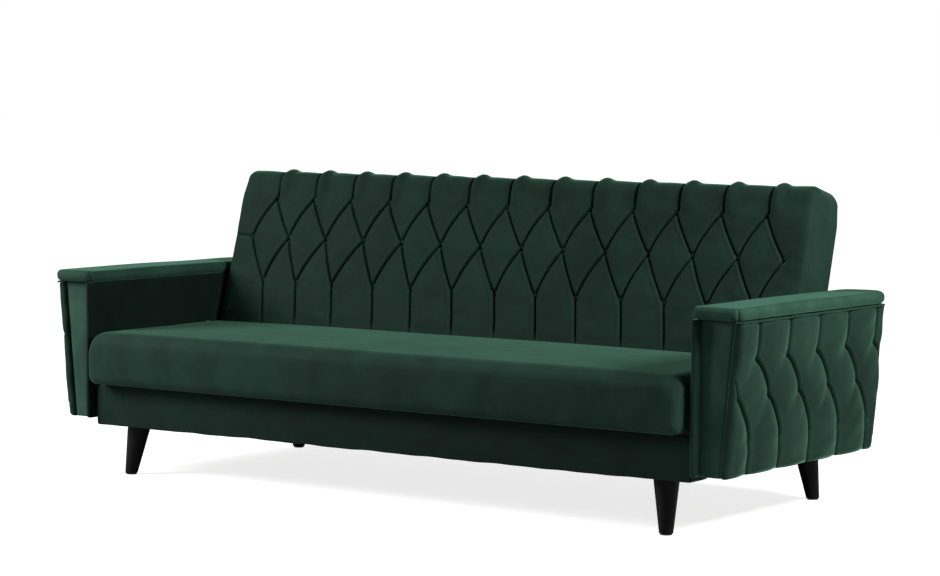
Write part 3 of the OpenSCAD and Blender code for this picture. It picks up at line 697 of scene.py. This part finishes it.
def cap_shape(points):
    placed, way = softened(points, cap_low, cap_high, (16.0, 16.0, 15.5))
    middle = (cap_low + cap_high) / 2
    for corner_y, reach in ((cap_low[1], 27.0), (cap_high[1], 48.0)):
        for corner_x in (cap_low[0], cap_high[0]):
            sign = np.array((np.sign(corner_x - middle[0]), np.sign(corner_y - middle[1])))
            core = np.array((corner_x, corner_y)) - sign * reach
            off = (placed[:, :2] - core) * sign
            inside = (off[:, 0] > 0) & (off[:, 1] > 0)
            long_way = off.max(1)
            scale = np.where(inside, long_way / np.maximum(np.linalg.norm(off, axis=1), 1e-9), 1.0)
            placed[:, :2] = np.where(inside[:, None], core + off * sign * scale[:, None], placed[:, :2])
    up = np.clip(way[:, 2], 0, 1)
    u = np.clip((placed[:, 0] - cap_low[0]) / (cap_high[0] - cap_low[0]), 0, 1)
    v = np.clip((placed[:, 1] - cap_low[1]) / (cap_high[1] - cap_low[1]), 0, 1)
    placed[:, 2] += up * (4.0 * np.sin(math.pi * u) ** 0.8 * np.sin(math.pi * v) ** 0.3 - 1.5 + 0.6 * ripple(placed,
                                                                                                             170, 31))
    sides = np.sqrt(way[:, 0] ** 2 + way[:, 1] ** 2)
    placed[:, :2] += way[:, :2] * (sides * 0.7 * ripple(placed, 120, 32))[:, None]
    return placed, None


# the left arm's inside takes the darkest velvet copy as painted shade, the front panels the lighter copy as painted
# light, and the caps the copy with less sheen on a lighter base, as painted shade on their tops and painted light on
# their fronts
for arm in (-1, 1):
    arm_piece("arm_inner_pad", "arm_inside_velvet", arm,
              spread(inner_face, inner_back, 2.5), spread(inner_front, arm_back, 9, 10, 5), spread(arm_foot, arm_top,
                                                                                                   9, 7, 3),
              inner_pad_shape, painted_deep_shade_velvet if arm < 0 else green_velvet)
    for end, outer, inner, seed, cloth in (("front", -392.5, -384.5, 41, painted_light_velvet),
                                           ("rear", 367.5, 359.5, 51, green_velvet)):
        arm_piece(f"arm_{end}_panel", f"arm_{end}_velvet", arm, spread(0, panel_width, 4),
                  spread(min(outer, inner), max(outer, inner), 2.5), spread(arm_foot, arm_top, 7, 4, 2),
                  end_panel_shape(outer, inner, seed + arm), cloth)
    arm_piece("arm_outer_pad", "arm_pleated_velvet", arm,
              spread(0, pad_thick, 3), spread(pad_front, arm_back, 3.0), spread(arm_foot, arm_top,
                                                                                3.4), outer_pad_shape)
    arm_piece("arm_cap", "arm_cap_velvet", arm, spread(cap_low[0], cap_high[0], 5, 16, 6),
              spread(cap_low[1], cap_high[1], 8, 16, 6), spread(arm_top, cap_high[2], 2.6), cap_shape, cap_velvet)


def dressed(tree, shape, cloth, made):
    """Ends a Geometry Nodes tree with real geometry in its material."""
    real, coat = tree.nodes.new("GeometryNodeRealizeInstances"), tree.nodes.new("GeometryNodeSetMaterial")
    for start, end in ((shape, real.inputs["Geometry"]), (real.outputs["Geometry"], coat.inputs["Geometry"]),
                       (cloth, coat.inputs["Material"]), (coat.outputs["Geometry"], made.inputs["Geometry"])):
        tree.links.new(start, end)
    return tree


def welt_tree():
    """Velvet-covered cord along a path: Radius is half the cord's thickness."""
    tree = bpy.data.node_groups.new("velvet welt", "GeometryNodeTree")
    given, made = sockets(
        tree, (("Path", "Geometry"), ("Radius", "Float"), ("Cloth", "Material")),
        (("Geometry", "Geometry"),))
    nodes, links = tree.nodes, tree.links
    line, ring, tube = (nodes.new("GeometryNode" + kind) for kind in ("MeshToCurve", "CurvePrimitiveCircle", "CurveToMesh"))
    put(ring, Resolution=10)
    links.new(given.outputs["Path"], line.inputs["Mesh"])
    links.new(given.outputs["Radius"], ring.inputs["Radius"])
    links.new(line.outputs["Curve"], tube.inputs["Curve"])
    links.new(ring.outputs["Curve"], tube.inputs["Profile Curve"])
    put(tube, Fill_Caps=True)
    return dressed(tree, tube.outputs["Mesh"], given.outputs["Cloth"], made)


velvet_welt = welt_tree()


def grown(name, start_mesh, tree, **values):
    """Runs a Geometry Nodes tree on a start mesh and keeps the result as a plain mesh piece."""
    seedling = bpy.data.objects.new(name, start_mesh)
    bpy.context.scene.collection.objects.link(seedling)
    modifier = seedling.modifiers.new("grow", "NODES")
    modifier.node_group = tree
    for item in tree.interface.items_tree:
        if item.item_type == "SOCKET" and item.in_out == "INPUT" and item.name in values:
            modifier[item.identifier] = values[item.name]
    seen = seedling.evaluated_get(bpy.context.evaluated_depsgraph_get())
    mesh = bpy.data.meshes.new_from_object(seen)
    seedling.modifiers.clear()
    seedling.data = mesh
    shell = bmesh.new()
    shell.from_mesh(mesh)
    bmesh.ops.recalc_face_normals(shell, faces=shell.faces)
    shell.to_mesh(mesh)
    shell.free()
    mesh.shade_smooth()
    return seedling


def path_mesh(name, points):
    mesh = bpy.data.meshes.new(name)
    mesh.from_pydata([tuple(np.asarray(p) * 0.001) for p in points], [(n, n + 1) for n in range(len(points) - 1)], [])
    return mesh


for arm, hand in ((-1, "left"), (1, "right")):
    corner = [(1134.6 - 36 * (1 - math.cos(a)), 338 + 36 * math.sin(a)) for a in np.linspace(0, 1.35, 8)]
    front = [(1134.6 - 26 * (1 - math.cos(a)), -390 - 26 * math.sin(a)) for a in np.linspace(1.1, 0, 7)]
    run = front + [(1134.6, y) for y in np.linspace(-385, 325, 40)] + corner
    run = [(arm * x, y, 545.4 + 0.35 * math.sin(y / 21)) for x, y in run]
    welt = grown(f"arm_welt_cord_{hand}", path_mesh(f"welt_path_{hand}", run), velvet_welt, Radius=0.0024,
                 Cloth=green_velvet)
    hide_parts(f"arm_welt_{hand}")
    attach(welt, "base")


# The tie at each crossing of the pleats: a small covered tuft pulled into the pad.
def tie_tree():
    """A small covered tuft on every point of Places, Size across and lying along the pleats."""
    tree = bpy.data.node_groups.new("pleat ties", "GeometryNodeTree")
    given, made = sockets(
        tree, (("Places", "Geometry"), ("Size", "Float"), ("Turn", "Vector"), ("Cloth", "Material"), ("Seed", "Int")),
        (("Geometry", "Geometry"),))
    nodes, links = tree.nodes, tree.links
    tuft, set_on, vary = nodes.new("GeometryNodeMeshUVSphere"), nodes.new("GeometryNodeInstanceOnPoints"), nodes.new("FunctionNodeRandomValue")
    put(tuft, Segments=8, Rings=5, Radius=0.5)
    vary.data_type = "FLOAT_VECTOR"
    put(vary, Min=(0.7, 0.7, 1.3), Max=(1.0, 1.0, 2.0))
    grow = nodes.new("ShaderNodeVectorMath")
    grow.operation = "SCALE"
    links.new(vary.outputs["Value"], grow.inputs[0])
    links.new(given.outputs["Size"], grow.inputs["Scale"])
    links.new(given.outputs["Seed"], vary.inputs["Seed"])
    links.new(given.outputs["Places"], set_on.inputs["Points"])
    links.new(tuft.outputs["Mesh"], set_on.inputs["Instance"])
    links.new(given.outputs["Turn"], set_on.inputs["Rotation"])
    links.new(grow.outputs["Vector"], set_on.inputs["Scale"])
    return dressed(tree, set_on.outputs["Instances"], given.outputs["Cloth"], made)


pleat_ties = tie_tree()


def surface_points(piece, wanted, axis, reach=9.0):
    """The points of a finished pad nearest to the wanted tie places, so that each tie sits in its dimple."""
    flat = np.empty(len(piece.data.vertices) * 3, np.float32)
    piece.data.vertices.foreach_get("co", flat)
    flat = flat.reshape(-1, 3) * 1000
    found = []
    for place in wanted:
        gap = np.linalg.norm(np.delete(flat - np.asarray(place), axis, axis=1), axis=1)
        gap += 0.02 * np.abs(flat[:, axis] - place[axis])
        best = gap.argmin()
        if gap[best] < reach:
            found.append(flat[best] * 0.001)
    return found


# the ties take the lighter velvet copy: a painted highlight standing for the glint on the pinched cloth
for arm, hand in ((-1, "left"), (1, "right")):
    pad = bpy.data.objects[f"arm_pleated_velvet_{hand}"]
    wanted = [(arm * 1140, y, z) for y, z in arm_ties if -390 < y < 372]
    places = bpy.data.meshes.new(f"arm_tie_places_{hand}")
    places.from_pydata(surface_points(pad, wanted, 0), [], [])
    ties = grown(f"arm_ties_{hand}", places, pleat_ties, Size=0.0080, Turn=(math.radians(-20), 0.0, 0.0),
                 Cloth=painted_light_velvet, Seed=3)
    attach(ties, "base")


# ---------------------------------------------------------------- seat
# One long foam-and-spring cushion upholstered in plain velvet over a pine
# frame, its top edge rolled over and its ends softly rounded.
give(pine, "seat_frame", "back_frame")
seat_front, seat_low, seat_high, half_width = -451.5, 262.0, 412.0, 980.0
pocket_front, pocket_rear, pocket_side, pocket_roof = -433.5, 67.6, 962.0, 304.6


def seat_rear(height):
    return 106.0 + (height - 337.0) * math.tan(math.radians(15.5))


def seat_shape(points):
    up = np.clip((points[:, 2] - 345) / 45, 0, 1)
    up = up * up * (3 - 2 * up)
    rear = np.clip((points[:, 1] + 120) / 150, 0, 1)
    radius = np.stack([
        (26 + 24 * up) * (1 - rear) + 12 * rear, (24 + 15 * up) * (1 - rear) + 14 * rear,
        np.where(points[:, 2] > 337, 38 * (1 - rear) + 12 * rear, 15.0 + 10.0 * (1 - rear))], 1)
    placed, way = softened(points, (-half_width, seat_front, seat_low), (half_width, 106.0, seat_high), radius)
    # the rear face leans back with the back cushion
    behind = placed[:, 1] > pocket_rear
    stretch = (seat_rear(placed[:, 2]) - pocket_rear) / (106.0 - pocket_rear)
    placed[:, 1] = np.where(behind, pocket_rear + (placed[:, 1] - pocket_rear) * stretch, placed[:, 1])
    u = np.clip(np.abs(points[:, 0]) / half_width, 0, 1)
    v = np.clip((points[:, 1] - seat_front) / (106.0 - seat_front), 0, 1)
    w = np.clip((points[:, 2] - seat_low) / (seat_high - seat_low), 0, 1)
    top, face = np.clip(way[:, 2], 0, 1), np.clip(-way[:, 1], 0, 1)
    placed[:, 2] += top * (9.0 * (1 - u ** 5) * np.sin(math.pi * np.clip(v * 0.94 + 0.03, 0, 1)) ** 0.7 - 3.0)
    placed[:, 2] += top * 0.8 * ripple(placed, 330, 61)
    placed[:, 1] -= face * (4.5 * np.sin(math.pi * w) * (1 - u ** 10) + 0.8 * ripple(placed * (1, 1, 2), 300, 62))
    placed[:, 0] += np.sign(way[:, 0]) * np.clip(np.abs(way[:, 0]), 0, 1) * 2.0 * np.sin(math.pi * w)
    inside = (points[:, 2] < seat_low + 0.01) & (np.abs(points[:, 0]) < pocket_side) & (points[:,
                                                                                               1] > pocket_front) & (points[:, 1] < pocket_rear)
    placed[inside, 1], placed[inside, 2] = points[inside, 1], pocket_roof
    return placed, None


seat_cuts_x = np.concatenate([spread(-half_width, -962.2, 3), [-961.8], spread(-950, 950, 12), [961.8],
                              spread(962.2, half_width, 3)])
seat_cuts_y = np.concatenate([spread(seat_front, -433.7, 3), [-433.3], spread(-426, 60, 10), [67.4], spread(67.8, 106, 4)])
# the seat takes the velvet copy with less sheen and a lighter base: painted shade on its top, painted light on its
# front
seat = block_skin("seat_cushion_velvet", seat_cuts_x, seat_cuts_y, spread(seat_low, seat_high, 5, 14, 4), seat_shape,
                  seat_velvet)
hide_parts("seat_cushion")
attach(seat, "seat")

felt_black = speckled("black non-woven cloth", (0.010, 0.010, 0.011), (0.024, 0.024, 0.026), 0.9, 420.0, 0.0005)
give(felt_black, "seat_dust_cloth", "seat_webbing", "back_webbing")


# ---------------------------------------------------------------- back
# A tufted cushion on a pine frame: fourteen channels at the top and bottom with
# leaf-shaped pleats between three rows of tied points across its face.
lean = math.radians(15.5)
hinge = np.array((0.0, 190.5, 337.0))
back_foot, back_top, back_half = -60.0, 523.0, 75.0
columns, column_width = 14, 140.0
back_rows = (434.0, 315.0, 181.0)
back_seams, back_ties, back_low_seams, back_high_seams = [], [], [], []


def bowed(start, end, bow, turns=8):
    t = np.linspace(0, 1, turns + 1)
    line = np.asarray(start)[None] * (1 - t[:, None]) + np.asarray(end)[None] * t[:, None]
    line[:, 0] -= bow * np.sin(math.pi * t)
    return line


# hand-drawn ties are never quite in line: how far each low tie stands off, mm
low_shift = [0, 0, -15, -19, -8, -11, -4, 4, 3, -3, 5, 2, -4, 3, 0]
for n in range(columns + 1):
    x = -half_width + column_width * n
    low_x = x + low_shift[n]
    if 0 < n < columns:
        back_high_seams.append(np.array([(x + 4, 700.0), (x + 5, 480.0), (x + 6, back_rows[0] + 6)]))
        back_low_seams.append(np.array([(low_x, back_rows[2]), (low_x + 12, 120.0), (low_x + 22, 60.0), (low_x + 24, 0.0)]))
        for half in (-0.5, 0.5):
            bow = 9 if half < 0 else 4
            back_seams.append(bowed((x, back_rows[0]), (x + half * column_width, back_rows[1]), bow))
            bow = 9 if half > 0 else 4
            back_seams.append(bowed((x + half * column_width, back_rows[1]), (low_x, back_rows[2]), bow))
        back_ties += [(x, back_rows[0]), (low_x, back_rows[2])]
    if n < columns:
        back_ties.append((x + column_width / 2, back_rows[1]))
back_seams += [np.array([(-980.0, 318.0), (-910.0, 315.0)])]
# every line is drawn downwards, so that its left-hand side has the same sign
back_pattern = [line if line[0][1] >= line[-1][1] else line[::-1] for line in back_high_seams + back_seams + back_low_seams]


back_heights = blown("back_velvet_filling", (-1015, -10), (1015, 700), 7.0, back_pattern,
                                             back_ties, 0.03, 6.0, 2)


def leaned(points):
    turned = points.copy()
    turned[:, 1] = points[:, 1] * math.cos(lean) + points[:, 2] * math.sin(lean)
    turned[:, 2] = points[:, 2] * math.cos(lean) - points[:, 1] * math.sin(lean)
    return turned + hinge


def back_shape(points):
    z = points[:, 2]
    tail, head = np.clip((40 - z) / 60, 0, 1), np.clip((z - 440) / 50, 0, 1)
    round_y = 17 + 27 * tail + 19 * head
    radius = np.stack([17 + 12 * head, round_y, 20 + 24 * tail + 14 * head], 1)
    placed, way = softened(points, (-half_width, -back_half, back_foot), (half_width, back_half, back_top), radius)
    pattern = np.stack([points[:, 0], np.where(points[:, 1] > -back_half + 1, 524 + (points[:, 1] + back_half), z)], 1)
    on_rear = points[:, 1] > back_half - 1
    seam, side = nearest(back_pattern, pattern)
    tie = np.full(len(points), 1e3)
    for place in back_ties:
        tie = np.minimum(tie, np.hypot(pattern[:, 0] - place[0], pattern[:, 1] - place[1]))
    # leaf pleats in the middle, channels below; both fade out down at the seat
    puff = 1 - (1 - np.clip(seam / 62, 0, 1)) ** 2.3
    if back_heights:
        puff = height_on(back_heights, pattern) / np.percentile(back_heights[2], 97) * (1 - hump(seam, 6))
    left = side < 0
    fade = np.clip((z - 40) / 45, 0, 1)
    upper = np.clip((pattern[:, 1] - 430) / 40, 0, 1)
    leaf = (8.5 - 3.0 * np.clip((200 - pattern[:, 1]) / 40, 0, 1)) * puff + 2.4 * hump(seam - 7,
                                                                                       4) * left - 8.5 * hump(seam, 3.3)
    roll = 9.0 * hump(seam - 20, 17) * ~left + 3.0 * puff - 9.0 * hump(seam, 3.3)
    rise = leaf * (1 - upper) + roll * upper
    rise -= 5.0 * hump(tie, 9)
    rise += 0.9 * ripple(points, 90, 71) * puff
    showing = np.clip(-way[:, 1] + np.clip(way[:, 2], 0, 1), 0, 1) * fade
    away = np.clip(1 - (points[:, 1] - 40) / 30, 0, 1)
    edge = np.clip((half_width - np.abs(points[:, 0])) / 26, 0, 1) ** 0.7
    placed += way * (rise * showing * away * edge)[:, None]
    # the pocket in its rear, which holds the frame
    inside = on_rear & (np.abs(points[:, 0]) < 962.0) & (z > -15.0) & (z < 505.0)
    placed[inside] = points[inside]
    placed[inside, 1] = 31.4
    # painted shade along the seams, made uneven at random, and a painted highlight on the lip beside them, strongest
    # near the ties
    marks = (showing * away > 0.2) & (np.abs(points[:, 0]) < 978)
    return leaned(placed), {
        "crease": hump(seam, 3.3) * marks * np.clip(0.62 + 0.4 * ripple(points, 60, 91), 0.3, 1),
        "painted_highlight": hump(seam - 6.5, 3.2) * left * marks * np.clip(0.5 + hump(tie, 18), 0, 1)}


back_cuts_x = np.concatenate([spread(-half_width, -962.2, 3), [-961.8], spread(-958.5, 958.5, 3.2), [961.8],
                              spread(962.2, half_width, 3)])
back_cuts_z = np.concatenate([spread(back_foot, -15.2, 6), [-14.8], spread(0, 24, 12), spread(28, 504.8, 3.6),
                              [505.2], spread(508, back_top, 3)])
back = block_skin("back_cushion_velvet", back_cuts_x, spread(-back_half, back_half, 5), back_cuts_z, back_shape,
                  green_velvet)
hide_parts("back_cushion")
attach(back, "back")

# the ties take the lighter velvet copy: a painted highlight standing for the glint on the pinched cloth
tie_places = bpy.data.meshes.new("back_tie_places")
on_face = leaned(np.array([(x, -back_half - 8, z) for x, z in back_ties]))
tie_places.from_pydata(surface_points(back, on_face, 1), [], [])
ties = grown("back_ties", tie_places, pleat_ties, Size=0.0080, Turn=(-lean, 0.0, 0.0), Cloth=painted_light_velvet, Seed=8)
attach(ties, "back")

# the velvet sheet that closes the back's rear, over the frame, tacked all round
rear_low, rear_high = np.array((-962.0, 72.0, -15.0)), np.array((962.0, 74.0, 505.0))


def rear_sheet_shape(points):
    placed, way = softened(points, rear_low, rear_high, (0.9, 0.9, 0.9))
    u = np.abs(placed[:, 0]) / 962.0
    w = np.clip((placed[:, 2] - rear_low[2]) / 520.0, 0, 1)
    slack = np.sin(math.pi * w) ** 0.6 * (1 - u ** 8)
    placed[:, 1] += slack * np.clip(1.1 + 1.6 * ripple(placed, 260, 81), 0, 3.5)     # outwards only: the frame is behind it
    return leaned(placed), None


rear_sheet = block_skin("back_rear_velvet", spread(rear_low[0], rear_high[0], 12), [72.0, 73.0, 74.0],
                        spread(rear_low[2], rear_high[2], 12), rear_sheet_shape, green_velvet)
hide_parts("back_rear_cover")
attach(rear_sheet, "back")


# ---------------------------------------------------------------- staples
# Wire staples, about one every 45 mm, hold the black cloth under the seat and
# the velvet sheet on the back's rear to their frames.
def staple_tree():
    """Wire staples laid end to end along Path, one every Spacing, each Length long and Wire thick."""
    tree = bpy.data.node_groups.new("staples along an edge", "GeometryNodeTree")
    given, made = sockets(
        tree, (("Path", "Geometry"), ("Spacing", "Float"), ("Length", "Float"), ("Wire", "Float"), ("Metal", "Material")),
        (("Geometry", "Geometry"),))
    nodes, links = tree.nodes, tree.links
    line, even, bar, place = (nodes.new("GeometryNode" + kind) for kind in ("MeshToCurve", "ResampleCurve",
                                                                            "MeshCube", "InstanceOnPoints"))
    even.mode = "LENGTH"
    links.new(given.outputs["Path"], line.inputs["Mesh"])
    links.new(line.outputs["Curve"], even.inputs["Curve"])
    links.new(given.outputs["Spacing"], even.inputs["Length"])
    size = nodes.new("ShaderNodeCombineXYZ")
    for axis, source in zip("XYZ", ("Length", "Wire", "Wire")):
        links.new(given.outputs[source], size.inputs[axis])
    links.new(size.outputs["Vector"], bar.inputs["Size"])
    tangent, turn = nodes.new("GeometryNodeInputTangent"), nodes.new("FunctionNodeAlignRotationToVector")
    turn.axis = "X"
    links.new(tangent.outputs["Tangent"], turn.inputs["Vector"])
    links.new(even.outputs["Curve"], place.inputs["Points"])
    links.new(bar.outputs["Mesh"], place.inputs["Instance"])
    links.new(turn.outputs["Rotation"], place.inputs["Rotation"])
    return dressed(tree, place.outputs["Instances"], given.outputs["Metal"], made)


edge_staples = staple_tree()
cloth_low, cloth_high = (np.array(corner) * 1000 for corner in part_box("seat_dust_cloth"))
under = [(x * (cloth_high[0] - 9), y, cloth_low[2] - 0.3) for x, y in
         ((-1, cloth_low[1] + 9), (1, cloth_low[1] + 9), (1, cloth_high[1] - 9), (-1, cloth_high[1] - 9),
          (-1, cloth_low[1] + 9))]
seat_staples = grown("seat_cloth_staples", path_mesh("seat_staple_path", under), edge_staples, Spacing=0.045,
                     Length=0.010, Wire=0.0011, Metal=zinc)
seat_staples.data.shade_flat()
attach(seat_staples, "seat")
around = leaned(np.array([(x, 74.2, z) for x, z in ((-953, -6), (953, -6), (953, 496), (-953, 496), (-953, -6))]))
back_staples = grown("back_sheet_staples", path_mesh("back_staple_path", around), edge_staples, Spacing=0.045,
                     Length=0.010, Wire=0.0011, Metal=zinc)
back_staples.data.shade_flat()
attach(back_staples, "back")
